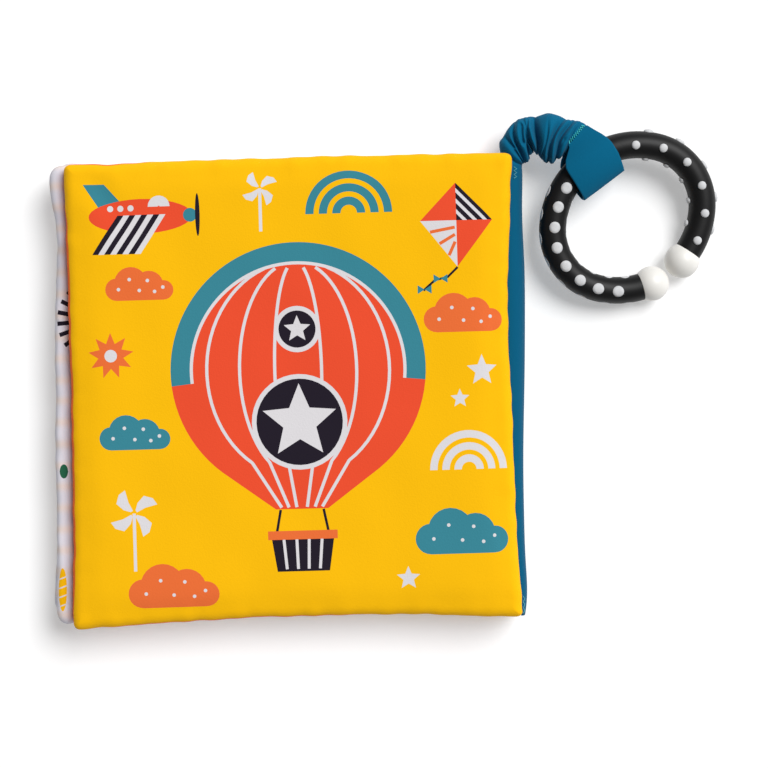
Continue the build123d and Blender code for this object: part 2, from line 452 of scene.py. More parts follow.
def cloud(colour, x, base, width):
    """Puffs on a flat base, with white dots."""
    shapes = [disc(colour, x + dx * width, base + r * width, r * width, 24) for dx, r in CLOUD_PUFFS]
    left, right = x + CLOUD_PUFFS[0][0] * width, x + CLOUD_PUFFS[-1][0] * width
    low, high = base - 0.04, base + 0.1 * width
    shapes.append(polygon(colour, (left, low), (right, low), (right, high), (left, high)))
    for dx, dy in CLOUD_DOTS:
        shapes.append(disc("white", x + dx * width, base + dy * width, CLOUD_DOT_RADIUS, 8))
    return shapes


def pinwheel(colour, x, y, radius, stem):
    """Four curved sails on a stick."""
    shapes = [stroke(colour, ((x, y), (x, y - stem)), 1.1)]
    for quarter in range(4):
        turn = math.radians(quarter * 90 + 20)
        c, s = math.cos(turn), math.sin(turn)
        spun = column_stack((SAIL[:, 0] * c - SAIL[:, 1] * s, SAIL[:, 0] * s + SAIL[:, 1] * c))
        shapes.append((colour, spun * radius + (x, y)))
    return shapes


def big_balloon(x, y, radius):
    """A hot-air balloon with a rounded crown band, gores, two badges and a basket."""
    mouth, foot, inner = 9, -radius - 4, radius - 6.6
    angles = np.radians(np.linspace(-52, 232, 70))
    dome = column_stack((np.cos(angles), np.sin(angles))) * radius
    shapes = [("orange", np.vstack((dome, ((-mouth, foot), (mouth, foot)))))]
    turn = np.radians(np.linspace(70, -58, 26))
    for share in (-0.78, -0.5, -0.2, 0.2, 0.5, 0.78):
        line = column_stack((share * (inner + 3) * np.cos(turn), inner * np.sin(turn)))
        shapes.append(stroke("white", np.vstack((line, ((share * mouth, foot + 0.6),))), 1.1))
    for colour, outer, width in (("teal", radius, 6.6), ("white", inner, 1.1)):
        shapes.append(arch(colour, 0, 0, outer, outer - width, -6, 186, 56))
    for level, reach in ((14, 8), (-18, 16.5)):
        shapes += [disc("white", 0, level, reach, 40), disc("ink", 0, level, reach - 1.6, 40)]
        shapes.append(star("white", 0, level, reach - 3.2))
    low = foot - 8.5
    for side in (-1, 1):
        shapes.append(stroke("ink", ((side * 7.4, foot - 0.2), (side * 9, low)), 0.9))
    shapes.append(polygon("ink", (-11, low), (11, low), (9, low - 13), (-9, low - 13)))
    for share in (-0.62, -0.2, 0.2, 0.62):
        shapes.append(stroke("white", ((share * 10.6, low - 2), (share * 9.2, low - 12.2)), 1))
    shapes.append(polygon("coral", (-12, low + 1), (12, low + 1), (12, low - 2), (-12, low - 2)))
    return moved(shapes, x, y)


def small_plane(x, y):
    """A toy aeroplane with a striped wing."""
    shapes = [polygon("teal", (-13, 1), (-20, 11.5), (-12.5, 11.5), (-5, 3))]
    shapes.append(disc("orange", 0, 0, 18, 36, 6))
    for band in range(8):
        left, right = 2.1 * band - 8, 2.1 * (band + 1) - 8
        corners = ((left, 0.5), (right, 0.5), (right - 9, -13), (left - 9, -13))
        shapes.append(polygon("white" if band % 2 else "ink", *corners))
    shapes += [disc("white", -10.5 + step * 3.6, 2.9, 1.1, 12) for step in range(3)]
    shapes.append(arch("white", 6.5, 3.2, 3.8, 0.3, 0, 180, 12))
    shapes += [disc("teal", 17.2, 0, 2.4, 18), disc("ink", 19.8, 0, 0.8, 18, 7.5)]
    return moved(shapes, x, y)


def kite(x, y):
    """A diamond kite with one striped quarter and a tail of bows."""
    middle, top, right, low, left = (0, 0), (0, 13), (12.5, 0), (0, -16), (-12.5, 0)
    shapes = [
        polygon("orange", top, middle, left),
        polygon("orange", middle, right, low),
        polygon("white", middle, low, left),
        polygon("ink", top, right, middle),
    ]
    for band in range(3):
        near, far = 0.18 + 0.28 * band, 0.3 + 0.28 * band
        shapes.append(polygon("white", (0, 13 * near), (0, 13 * far), (12.5 * far, 0), (12.5 * near, 0)))
    for band in range(3):
        share = 0.25 + 0.26 * band
        ends = ((-12.25 * (1 - share), -15.68 * share), (-0.6, -9.6 * share))
        shapes.append(stroke("coral", ends, 1.1))
    shapes.append(stroke("ink", ((0, -16.2), (-3.5, -19.5), (-8, -20.5), (-12, -24)), 0.8))
    for bx, by in ((-6, -20), (-11.6, -23.6)):
        for side in (-2.4, 2.4):
            shapes.append(polygon("teal", (bx + side, by + 1.5), (bx, by), (bx + side, by - 1.5)))
    return moved(shapes, x, y)


def rainbow(colour, x, y, radius):
    return [arch(colour, x, y, outer * radius, (outer - 0.19) * radius) for outer in (1, 0.69, 0.38)]


def rayed_sun(x, y, radius):
    """A sun with short dark rays."""
    shapes = [disc("yellow", x, y, radius, 36)]
    near, far = 1.25 * radius, 1.72 * radius
    for step in range(24):
        turn = math.radians(step * 15 + 4)
        c, s = math.cos(turn), math.sin(turn)
        shapes.append(stroke("ink", ((x + near * c, y + near * s), (x + far * c, y + far * s)), 1.5))
    return shapes


def banded_rainbow(x, y, radius):
    shapes = []
    for number, colour in enumerate(("coral", "yellow", "teal", "orange")):
        outer = radius * (1 - 0.17 * number)
        shapes.append(arch(colour, x, y, outer, outer - 0.14 * radius, 0, 180, 44))
    return shapes


def striped_ball(colour, x, y, radius):
    shapes = [disc(colour, x, y, radius, 40)]
    for lane in (-0.5, 0, 0.5):
        reach, level = radius * math.sqrt(1 - lane * lane) * 0.95, y + lane * radius
        shapes.append(stroke("white", ((x - reach, level), (x + reach, level)), 0.14 * radius))
    return shapes


def front_art():
    return [
        *big_balloon(2, 7, 44),
        *small_plane(-51, 61.5),
        *pinwheel("white", -9.5, 70, 6.4, 15),
        *rainbow("teal", 21, 60.5, 15),
        *kite(58, 57),
        *cloud("coral", -52, 32.5, 24),
        star("coral", -62.5, 13.5, 8, 9, 0.55),
        disc("white", -62.5, 13.5, 2.2, 16),
        *cloud("teal", -55, -19, 25),
        *pinwheel("white", -56, -41, 8.6, 20),
        *cloud("coral", -43, -74, 32),
        *cloud("coral", 59.5, 18.5, 28),
        *stars("white", (65.5, 5, 5.6), (57.5, -4.5, 3.4)),
        *rainbow("white", 60, -29, 13.5),
        *cloud("teal", 57, -58, 33),
        star("white", 38, -66, 4.2),
    ]


def inner_cover_art():
    return stars(
        "white",
        (-50, 45, 9), (-12, 58, 6), (36, 40, 10), (-30, 2, 7), (20, -8, 12), (52, -42, 7), (-46, -48, 11),
    )


def sun_page():
    """A sun at the fore edge, a striped hill in the corner, a rainbow and a kite."""
    shapes = rayed_sun(-64, 25, 9)
    shapes.append(disc("green", -77.6, -27.6, 1.5, 16, 2.5))
    shapes.append(disc("yellow", -78.3, -69, 1.5, 24, 7.6))
    for y in (-74.6, -71.4, -68.2, -65):
        shapes.append(stroke("white", ((-79.9, y - 0.5), (-76.7, y + 0.7)), 0.45))
    for step in range(5):
        x, tall = -74 + step * 6, -60 - 2.2 * step
        shapes.append(polygon("yellow", (x, -73.5), (x + 3.4, -73.5), (x + 3.4, tall), (x, tall + 1.4)))
    return [
        *shapes,
        *banded_rainbow(8, -34, 38),
        *cloud("teal", -28, -42, 26),
        *cloud("teal", 44, -42, 26),
        *kite(4, 52),
        *pinwheel("coral", 46, 42, 11, 24),
        *cloud("coral", -42, 56, 30),
        *stars("ink", (-40, 38, 3.4), (26, 22, 4.2), (-30, -66, 4)),
        *stars("ink", (22, -64, 5), (56, -68, 3.2)),
    ]


def plane_page():
    """An aeroplane over clouds, with striped balls and stars."""
    return [
        *small_plane(24, 40),
        *cloud("teal", -36, 38, 44),
        *cloud("coral", 34, -6, 36),
        *striped_ball("orange", -40, -6, 15),
        *striped_ball("green", -8, -46, 19),
        *striped_ball("teal", 42, -48, 12),
        *stars("ink", (-62, 62, 5), (-4, 66, 4), (-62, -52, 5)),
        *stars("ink", (8, -6, 4.4), (-66, 14, 4)),
    ]


def pinwheel_page():
    """A row of pinwheels under a sun."""
    shapes = rayed_sun(36, 48, 12)
    for x, colour, radius in ((-48, "coral", 14), (-10, "teal", 18), (32, "orange", 15)):
        shapes += pinwheel(colour, x, -8, radius, 44)
        shapes.append(disc("ink", x, -8, 1.8, 14))
    shapes += cloud("teal", -34, 44, 40)
    for step in range(9):
        shapes.append(disc("green" if step % 2 else "yellow", -60 + step * 14.5, -66, 4.2, 22))
    return shapes


# Padded panels

def panel_loop(width, height, radius, draws, step=1.3):
    """Outline of a sewn panel as in the CAD part: sides bowed in by the draws, round corners."""
    x, y = width / 2, height / 2
    free, hinge, head, tail = draws
    corners = np.array(((-x, -y), (x, -y), (x, y), (-x, y)))
    bows = ((0, tail), (-hinge, 0), (0, -head), (free, 0))
    loop = []
    for number in range(4):
        a, b = corners[number], corners[(number + 1) % 4]
        length = norm(b - a)
        t = np.linspace(radius / length, 1 - radius / length, int(length / step))
        side = a + np.outer(t, b - a) + np.outer(1 - (2 * t - 1) ** 2, bows[number])
        loop.extend(side)
        after = corners[(number + 2) % 4] - b
        turn_out = b + after / norm(after) * radius
        for s in (0.17, 0.34, 0.5, 0.66, 0.83):
            loop.append((1 - s) ** 2 * side[-1] + 2 * s * (1 - s) * b + s * s * turn_out)
    return np.array(loop)


def side_lengths(loop):
    return norm(np.roll(loop, -1, axis=0) - loop, axis=1)


def nearest_on_loop(points, loop):
    """Distance of points from a closed outline, and how far along it that is."""
    lengths = side_lengths(loop)
    starts = np.concatenate(((0,), np.cumsum(lengths)[:-1]))
    best = np.full(len(points), 1e9)
    along = np.zeros(len(points))
    for start, length, p, q in zip(starts, lengths, loop, np.roll(loop, -1, axis=0)):
        t = np.clip(((points - p) @ (q - p)) / length**2, 0, 1)
        gap = norm(points - p - np.outer(t, q - p), axis=1)
        closer = gap < best
        best[closer] = gap[closer]
        along[closer] = start + t[closer] * length
    return best, along


def inside(points, loop):
    """Which points lie in a closed outline."""
    hit = np.zeros(len(points), bool)
    for (ax, ay), (bx, by) in zip(loop, np.roll(loop, -1, axis=0)):
        if ay == by:
            continue
        crosses = (ay > points[:, 1]) != (by > points[:, 1])
        hit ^= crosses & (points[:, 0] < (bx - ax) * (points[:, 1] - ay) / (by - ay) + ax)
    return hit


def inset_loop(loop, amount):
    """The outline moved in by one amount or by one for each point."""
    along = unit(np.roll(loop, -1, axis=0) - np.roll(loop, 1, axis=0))
    return loop + column_stack((-along[:, 1], along[:, 0])) * np.asarray(amount).reshape(-1, 1)


def split_outline(outline, longest):
    """An outline with points added, so that no side is longer than given."""
    outline = np.asarray(outline, float)
    out = []
    for a, b in zip(outline, np.roll(outline, -1, axis=0)):
        count = max(1, math.ceil(norm(b - a) / longest))
        out.extend(a + (b - a) * k / count for k in range(count))
    return np.array(out)


def clear_of(points, others, gap):
    """Which points keep a distance from all of the others."""
    clear = np.ones(len(points), bool)
    for start in range(0, len(others), 200):
        apart = points[:, None, :] - others[None, start:start + 200, :]
        clear &= ((apart**2).sum(axis=2) > gap**2).all(axis=1)
    return clear


def sheet_points(loop, spacing, art, edging, rings):
    """Points and outline edges of one face of a panel, before it is cut."""
    points = list(loop)
    edges = [(i, (i + 1) % len(loop)) for i in range(len(loop))]
    outlines = [split_outline(outline, OUTLINE_STEP) for _, outline in art]
    for amount in rings:
        points.extend(inset_loop(loop, amount)[:: 1 if amount < 3 else 2])
    low, high = loop.min(axis=0), loop.max(axis=0)
    xs = np.arange(low[0], high[0], spacing)
    ys = np.arange(low[1], high[1], spacing * 0.866)
    grid = np.array([(x + (r % 2) * spacing / 2, y) for r, y in enumerate(ys) for x in xs])
    gap, _ = nearest_on_loop(grid, loop)
    grid = grid[inside(grid, loop) & (gap > rings[-1] + GRID_MARGIN)]
    if outlines:
        grid = grid[clear_of(grid, np.vstack(outlines), 0.5 * OUTLINE_STEP)]
    points.extend(grid)
    if edging is not None:
        outlines.append(inset_loop(loop, edging))
    for outline in outlines:
        first = len(points)
        points.extend(outline)
        edges.extend((first + i, first + (i + 1) % len(outline)) for i in range(len(outline)))
    return points, edges


def cut_sheet(loop, spacing, art, edging=None, rings=EDGE_RINGS):
    """One face of a panel cut along its print: points, triangles, colour names and edge points."""
    points, edges = sheet_points(loop, spacing, art, edging, rings)
    flat = [Vector((float(x), float(y))) for x, y in points]
    verts, _, faces, origins, _, _ = delaunay_2d_cdt(flat, edges, [], 1, 1e-4)
    verts = np.array([(v.x, v.y) for v in verts])
    faces = np.array([f for f in faces if len(f) == 3])
    middles = verts[faces].mean(axis=1)
    keep = inside(middles, loop)
    faces, middles = faces[keep], middles[keep]
    names = np.full(len(faces), "ground", object)
    for colour, outline in art:
        names[inside(middles, outline)] = colour
    if edging is not None:
        # The rolled-out lining gets the lighter copy of the orange, painted light on an edge that lies in
        # shade
        names[~inside(middles, inset_loop(loop, edging))] = "lining_edge"
    border = {s: index for index, sources in enumerate(origins) for s in sources if s < len(loop)}
    return verts, faces, names, border


def pad_rise(gap, half, reach):
    """Height of a stuffed face over its seam, by distance from the edge."""
    t = np.clip(gap / reach, 0, 1)
    return half * np.sqrt(1 - (1 - t) ** 2)


def relief(points, loop, seed):
    """Puckers square to the seam and slow waves over the face."""
    gap, along = nearest_on_loop(points, loop)
    total = side_lengths(loop).sum()
    rng = np.random.default_rng(seed)
    pucker = np.zeros(len(points))
    for wavelength in (6.2, 9, 13.5, 21):
        turns = round(total / wavelength)
        phase, level = rng.uniform(0, TURN), rng.uniform(0.6, 1)
        pucker += np.sin(along / total * TURN * turns + phase) * level
    corner = norm(np.abs(points) - np.abs(loop).max(axis=0), axis=1)
    window = smooth_step(gap / 1.6) * np.exp(-((gap / 5.5) ** 2)) * smooth_step((corner - 3) / 12)
    x, y = points.T
    waves = soft_noise(x, y, 46, seed + 1) + 0.5 * soft_noise(x, y, 19, seed + 2)
    return PUCKER_HEIGHT * pucker * window + WAVE_HEIGHT * waves * smooth_step(gap / 12)


def relief_at(points, loop, seed):
    """The relief read off a blurred grid, so that close points never differ by a jump."""
    low, high = loop.min(axis=0) - 3, loop.max(axis=0) + 3
    xs, ys = (np.arange(low[k], high[k], RELIEF_STEP) for k in (0, 1))
    grid = np.array([(x, y) for y in ys for x in xs])
    heights = relief(grid, loop, seed).reshape(len(ys), len(xs))
    for axis in (0, 1, 0, 1):
        heights = (np.roll(heights, 1, axis) + 2 * heights + np.roll(heights, -1, axis)) / 4
    place = (points - low) / RELIEF_STEP
    column, row = place.astype(int).T
    right, up = (place - place.astype(int)).T
    lower = heights[row, column] * (1 - right) + heights[row, column + 1] * right
    upper = heights[row + 1, column] * (1 - right) + heights[row + 1, column + 1] * right
    return lower * (1 - up) + upper * up


def sewn_loop(width, height, radius, draws, seed, pushes=()):
    """A panel's outline, let out for what the filling draws in, with a seam that wanders."""
    loop = panel_loop(width, height, radius, draws)
    for corner, push, reach in pushes:
        gap = norm(loop - corner, axis=1)
        loop = loop + np.outer(np.exp(-((gap / reach) ** 2)), push)
    steps = side_lengths(loop)
    share = np.cumsum(steps) / steps.sum()
    rng = np.random.default_rng(seed)
    wander = np.zeros(len(loop))
    for turns in (13, 21, 34, 55, 72):
        phase, level = rng.uniform(0, TURN), rng.uniform(0.4, 1)
        wander += np.sin(TURN * turns * share + phase) * level / 2.4
    return inset_loop(loop, SEAM_WANDER * wander - SEAM_GROWTH)


def sewn_sheets(loop, levels, spacing):
    """A coarse pad of two sheets that share their edge: points, triangles and places on a face."""
    low, high = levels
    verts, tris, _, border = cut_sheet(loop, spacing, [], None, COARSE_RINGS)
    gap, _ = nearest_on_loop(verts, loop)
    rise = pad_rise(gap, 0.8 * (high - low) / 2, SEAM_ROLL)
    middle = (low + high) / 2
    upper = column_stack((verts, middle + rise))
    lower = column_stack((verts, middle - rise))
    index = np.arange(len(verts)) + len(verts)
    for own in border.values():
        index[own] = own
    faces = np.vstack((tris, index[tris[:, ::-1]]))
    return np.vstack((upper, lower)), faces, verts


def run_cloth(pad):
    """Steps the cloth simulation and returns where the points end, in millimetres."""
    cloth = pad.modifiers.new("cloth", "CLOTH")
    settings = cloth.settings
    settings.quality = FILL_QUALITY
    settings.mass = FILL_MASS
    settings.use_pressure = True
    settings.uniform_pressure_force = FILL_PRESSURE
    settings.effector_weights.gravity = 0
    cloth.point_cache.frame_end = FILL_FRAMES
    for number in range(1, FILL_FRAMES + 1):
        scene.frame_set(number)
    filled = pad.evaluated_get(bpy.context.evaluated_depsgraph_get()).to_mesh()
    ends = np.array([v.co for v in filled.vertices]) / MM
    scene.frame_set(1)
    return ends


def fill_shifts(width, height, radius, draws, levels):
    """How far a panel's cloth moves as it is filled: places, and the shifts of both faces there."""
    loop = panel_loop(width, height, radius, draws, FILL_STEP)
    starts, faces, places = sewn_sheets(loop, levels, FILL_STEP)
    pad = mesh_object("filling", starts, faces, ["white"])
    shifts = run_cloth(pad) - starts
    bpy.data.meshes.remove(pad.data)
    size = norm(shifts, axis=1, keepdims=True) + 1e-9
    shifts = shifts / size * FILL_CAP * np.tanh(size / FILL_CAP)
    used = np.zeros(len(starts), bool)
    used[faces.ravel()] = True
    halves = shifts.reshape(2, -1, 3)
    edge = ~used.reshape(2, -1)[1]
    halves[1, edge] = halves[0, edge]
    return places, halves


def shift_at(points, places, shifts):
    """The shifts blurred over points of a finer mesh."""
    gaps = ((points[:, None, :] - places[None, :, :]) ** 2).sum(axis=2)
    weights = np.exp(-gaps / (2 * FILL_BLUR**2)) + 1e-12
    return weights @ shifts / weights.sum(axis=1, keepdims=True)


def face_heights(verts, loop, levels, side, seed, fill):
    """Height of each point of a panel's face, and its sideways shift."""
    low, high = levels
    gap, _ = nearest_on_loop(verts, loop)
    places, shifts = fill
    shift = shift_at(verts, places, shifts[0 if side > 0 else 1])
    rise = pad_rise(gap, (high - low) / 2, SEAM_ROLL) + relief_at(verts, loop, seed + side)
    return (low + high) / 2 + side * rise + shift[:, 2], shift[:, :2] * FILL_DRAW_SHARE


def panel(name, loop, levels, place, faces_art, grounds, edging, seed, fill, limits):
    """A stuffed panel of two sheets. place is (x, y, skew in degrees)."""
    points, faces, colours = [], [], []
    top_border = {}
    for number, (side, art) in enumerate(zip((1, -1), faces_art)):
        shown = edging if side > 0 else None
        verts, tris, names, border = cut_sheet(loop, FACE_STEPS[number], art, shown)
        heights, sideways = face_heights(verts, loop, levels, side, seed, fill)
        heights = np.clip(heights, *limits)
        index = np.arange(len(verts)) + len(points)
        if side < 0:
            for source, own in border.items():
                index[own] = top_border[source]
        else:
            top_border = border
        points.extend(column_stack((verts + sideways, heights)))
        faces.extend(index[tris if side > 0 else tris[:, ::-1]])
        colours.extend(grounds[number] if n == "ground" else n for n in names)
    points = np.array(points)
    x, y, skew = place
    c, s = math.cos(math.radians(skew)), math.sin(math.radians(skew))
    points[:, :2] = points[:, :2] @ np.array(((c, s), (-s, c))) + (x, y)
    used = sorted(set(colours))
    return mesh_object(name, points, faces, used, [used.index(c) for c in colours])


def cover_edging(loop):
    """How far the cover's lining rolls out past its seam, at each point of the outline."""
    x, y = loop.T
    show = np.zeros(len(loop))
    for left, right, low, high, amount in EDGING_PLACES:
        show[(x > left) & (x < right) & (y > low) & (y < high)] = amount
    return EDGING_LEAST + sum(np.roll(show, shift) for shift in range(-6, 7)) / 13


def make_panels():
    size = (PANEL_WIDTH, PANEL_HEIGHT, COVER_CORNER)
    cover = sewn_loop(*size, FRONT_DRAWS, 41, FRONT_PUSHES)
    fill = fill_shifts(*size, FRONT_DRAWS, FRONT_Z)
    front = panel(
        "front_cover_cloth", cover, FRONT_Z, (0, 0, COVER_SKEW_DEG), (front_art(), inner_cover_art()),
        ("yellow", "orange"), cover_edging(cover), 11, fill, FRONT_LIMITS,
    )
    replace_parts(front, "front_cover")
    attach(front, "front_cover")
    back = panel(
        "back_cover_cloth", sewn_loop(*size, BACK_DRAWS, 42), BACK_Z, (0, 0, 0),
        (pinwheel_page(), inner_cover_art()), ("page", "yellow"), None, 23, fill, BACK_LIMITS,
    )
    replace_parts(back, "back_cover")
    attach(back, "back_cover")
    size = (LEAF_WIDTH, LEAF_HEIGHT, LEAF_CORNER, LEAF_DRAWS)
    leaves = [sewn_loop(*size, 43, pushes) for pushes in ((), LEAF_PUSHES)]
    fill = fill_shifts(*size, LEAF_Z[0])
    prints = ((plane_page(), pinwheel_page()), (sun_page(), plane_page()))
    for number, name in enumerate(("leaf_lower", "leaf_upper")):
        piece = panel(
            name, leaves[number], LEAF_Z[number], (LEAF_CENTRE_X, 0, LEAF_SKEWS_DEG[number]), prints[number],
            ("page", "page"), None, 31 + number, fill, LEAF_Z[number],
        )
        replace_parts(piece, "pages")
        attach(piece, "book_block")


# Spine, in a middle strip and two that run out to the covers

def hinge_edge_x(y, draws, skew_deg):
    """A cover's hinge edge at rest."""
    local = PANEL_WIDTH / 2 - draws[1] * (1 - (2 * y / PANEL_HEIGHT) ** 2)
    return local - y * math.sin(math.radians(skew_deg))


def spine_point(y, turn_deg):
    """A point of the spine's cloth; turn goes from 0 at the front cover to 180 at the back cover."""
    turn = math.radians(turn_deg)
    draws, skew_deg = (FRONT_DRAWS, COVER_SKEW_DEG) if turn_deg <= 90 else (BACK_DRAWS, 0)
    edge = hinge_edge_x(y, draws, skew_deg) - SPINE_TUCK
    out = SPINE_OUT_X - SPINE_DRAW * (abs(y) / SPINE_HALF_LENGTH) ** 14
    out += sum(shift * math.exp(-(((y - at) / reach) ** 2)) for at, shift, reach in SPINE_WAVES)
    across = abs(math.sin(turn)) ** SPINE_ROUND
    up = math.copysign(abs(math.cos(turn)) ** SPINE_ROUND, math.cos(turn))
    return edge + (out - edge) * across, y, SPINE_MID_Z + SPINE_HALF_HEIGHT * up


def spine_strip(name, start_deg, end_deg):
    rows, columns = 90, 16
    ys = np.linspace(-SPINE_HALF_LENGTH, SPINE_HALF_LENGTH, rows)
    points = [spine_point(y, turn) for y in ys for turn in np.linspace(start_deg, end_deg, columns)]
    # Painted shade: the spine takes the darker copy of the strap's teal
    piece = mesh_object(name, points, grid_faces(rows, columns), ["spine"])
    thicken(piece, SPINE_CLOTH, -1)
    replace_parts(piece, "spine")
    return piece


def spine_end(name, y):
    """Cloth that closes one end of the spine."""
    low, high = SPINE_END_Z
    outline = [(SPINE_END_X, high)]
    for turn in range(50, 131, 10):
        x, _, z = spine_point(y, turn)
        outline.append((x - 0.4, min(max(z, low), high)))
    outline.append((SPINE_END_X, low))
    points = [(x, y + shift, z) for shift in (-0.3, 0.3) for x, z in outline]
    count = len(outline)
    faces = [tuple(range(count)), tuple(range(2 * count - 1, count - 1, -1))]
    faces += [(k, k + count, (k + 1) % count + count, (k + 1) % count) for k in range(count)]
    # Painted shade: the spine's ends take the darker copy of the strap's teal
    piece = mesh_object(name, points, faces, ["spine"])
    piece.data.shade_flat()
    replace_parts(piece, "spine")
    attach(piece, "book_block")


def blend_to_cover(piece, near_deg, far_deg):
    """Bakes a piece's transform into its mesh; the piece is not bent."""
    start, end = spine_point(0, near_deg), spine_point(0, far_deg)
    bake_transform(piece)


def spine_stitches(name, low, high):
    """A short zigzag of thread at one end of the spine's front edge."""
    line = []
    for step, y in enumerate(np.linspace(low, high, STITCH_COUNT)):
        x, y, z = spine_point(y, STITCH_TURNS_DEG[step % 2])
        line.append((x + 0.05, y, z + 0.2))
    points, faces = tube(line, STITCH_RADIUS)
    piece = mesh_object(name, points, faces, ["stitch"])
    blend_to_cover(piece, FRONT_BEND_DEG, BEND_END_DEG)


def make_spine():
    middle = spine_strip("spine_cloth", FRONT_BEND_DEG, BACK_BEND_DEG)
    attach(middle, "book_block")
    spine_end("spine_head", SPINE_HALF_LENGTH - SPINE_END_IN)
    spine_end("spine_tail", SPINE_END_IN - SPINE_HALF_LENGTH)
    front = spine_strip("spine_front_hinge", 0, FRONT_BEND_DEG + BEND_LAP_DEG)
    blend_to_cover(front, FRONT_BEND_DEG, BEND_END_DEG)
    back = spine_strip("spine_back_hinge", BACK_BEND_DEG - BEND_LAP_DEG, 180)
    blend_to_cover(back, BACK_BEND_DEG, 180 - BEND_END_DEG)
    spine_stitches("stitches_head", *STITCHES_HEAD_Y)
    spine_stitches("stitches_tail", *STITCHES_TAIL_Y)


# Strap

# Outline of the gathered sleeve seen from above, from the spine to the throat: the outer and the inner side,
# then the height of its middle and its thickness
SLEEVE_STATIONS = np.array((
    (73, 79, 79.6, 78.4, 12, 9),
    (72.3, 82.6, 80.8, 79.4, 12, 9.6),
    (71.9, 86.8, 82, 79.6, 12, 10.4),
    (73.1, 89, 83, 81.4, 12.1, 11.2),
    (74.9, 91.8, 83.7, 83, 12.3, 11.8),
    (77.3, 94.4, 84.7, 83, 12.6, 12),
    (79.8, 95.5, 85.8, 81.6, 12.9, 12),
    (82.6, 96.2, 86.8, 80.4, 13.2, 12),
    (86.1, 96.6, 88.2, 79.5, 13.6, 12),
    (88.9, 96.9, 89.6, 79, 14, 12),
    (91.7, 96.5, 91, 79.2, 14.4, 11.4),
    (95.2, 95.1, 92.8, 80.6, 14.9, 10),
    (98.4, 94.6, 94.6, 82.6, 15.2, 7.6),
    (101.6, 93.2, 96.2, 85.8, 15.4, 4.6),
    (103.6, 90.4, 98.6, 84, 15, 3.2),
))

# Creases across the sleeve: where each meets the outer and the inner side, as stations, its depth at both,
# its width and its bend
SLEEVE_CREASES = (
    (1, 0.3, 0.3, 0.45, 0.4, 0),
    (3.1, 0.9, 0.25, 0.75, 0.34, 0.35),
    (4.9, 1.8, 0.6, 0.8, 0.36, -0.5),
    (6.1, 3.1, 0.3, 0.85, 0.4, 0.6),
    (6.7, 4.4, 0.35, 0.9, 0.34, -0.4),
    (7.2, 5.9, 1.05, 0.95, 0.52, 0.5),
    (9.2, 7.1, 0, 0.5, 0.3, 0.2),
    (10.9, 8.5, 0.8, 0.65, 0.42, -0.3),
    (11.7, 10.1, 0.9, 0.85, 0.46, -0.2),
    (12.6, 11.7, 0.35, 0.5, 0.28, 0),
)

# Short tucks: both ends as station and share of the width, and the depth
SLEEVE_TUCKS = (
    (3, 0.08, 2.5, 0.45, 0.55),
    (5.3, 0.18, 3.9, 0.6, 0.42),
    (5.1, 0.58, 5, 0.82, 0.6),
    (7.5, 0.52, 6.8, 0.74, 0.3),
    (8.9, 0.62, 8.3, 0.9, 0.3),
    (11.1, 0.55, 10.3, 0.74, 0.45),
)
TUCK_WIDTH = 0.34
INNER_DRAW = 0.3
OUTER_DRAW = 0.13
SHARE_STATIONS = 5


def spline(rows, count):
    """Rows of values resampled along a smooth curve through them."""
    rows = np.asarray(rows, float)
    longer = np.vstack((2 * rows[0] - rows[1], rows, 2 * rows[-1] - rows[-2]))
    out = []
    for t in np.linspace(0, len(rows) - 1 - 1e-9, count):
        i, f = int(t), t - int(t)
        a, b, c, d = longer[i:i + 4]
        square, cube = 2 * a - 5 * b + 4 * c - d, 3 * b - a - 3 * c + d
        out.append(0.5 * (2 * b + (c - a) * f + square * f**2 + cube * f**3))
    return np.array(out)


def tuck_gap(station, share, tuck):
    """Distance of points from a tuck's line, in stations."""
    start = np.array((tuck[0], tuck[1] * SHARE_STATIONS))
    line = np.array((tuck[2], tuck[3] * SHARE_STATIONS)) - start
    off = column_stack((np.full_like(share, station), share * SHARE_STATIONS)) - start
    along = np.clip(off @ line / (line @ line), 0, 1)
    return norm(off - np.outer(along, line), axis=1)


def sleeve_fold(station, around):
    """How far the sleeve's cloth is drawn in at points round one section, from 0 on a puff."""
    share = (1 - np.cos(around)) / 2
    under = np.where(np.sin(around) < 0, 0.45, 0)
    fold = np.zeros_like(around)
    for number, (outer, inner, outer_depth, inner_depth, width, bend) in enumerate(SLEEVE_CREASES):
        wiggle = 0.12 * np.sin(7 * share + 1.7 * number)
        line = outer + (inner - outer) * share + bend * np.sin(math.pi * share) + wiggle + under
        depth = outer_depth + (inner_depth - outer_depth) * share
        fold = np.maximum(fold, depth * np.exp(-np.abs((station - line) / width) ** 1.25))
    for tuck in SLEEVE_TUCKS:
        fold = np.maximum(fold, tuck[4] * np.exp(-((tuck_gap(station, share, tuck) / TUCK_WIDTH) ** 1.25)))
    return fold


def make_sleeve():
    rows, columns = 260, 96
    stations = spline(SLEEVE_STATIONS, rows)
    around = np.linspace(0, TURN, columns, endpoint=False)
    points = []
    for row, (ux, uy, lx, ly, z, high) in enumerate(stations):
        station = row / (rows - 1) * (len(SLEEVE_STATIONS) - 1)
        fold = sleeve_fold(station, around)
        fine = 0.02 * soft_noise(np.full(columns, station * 3), 5 * np.sin(around / 2) ** 2, 5, 8)
        middle = np.array(((ux + lx) / 2, (uy + ly) / 2, z))
        half = np.array(((ux - lx) / 2, (uy - ly) / 2, 0))
        reach = 1 - np.where(np.cos(around) < 0, INNER_DRAW, OUTER_DRAW) * fold + fine
        ring = np.outer(np.cos(around) * reach, half)
        ring[:, 2] += np.sin(around) * high / 2 * (1.08 - 0.8 * fold + 2 * fine)
        points.extend(ring + middle)
    faces = [f[::-1] for f in grid_faces(rows, columns, True)]
    faces += [tuple(range(columns)), tuple(range((rows - 1) * columns, rows * columns))[::-1]]
    sleeve = mesh_object("strap_sleeve", points, faces, ["strap"])
    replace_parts(sleeve, "strap")
    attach(sleeve, "book_block")


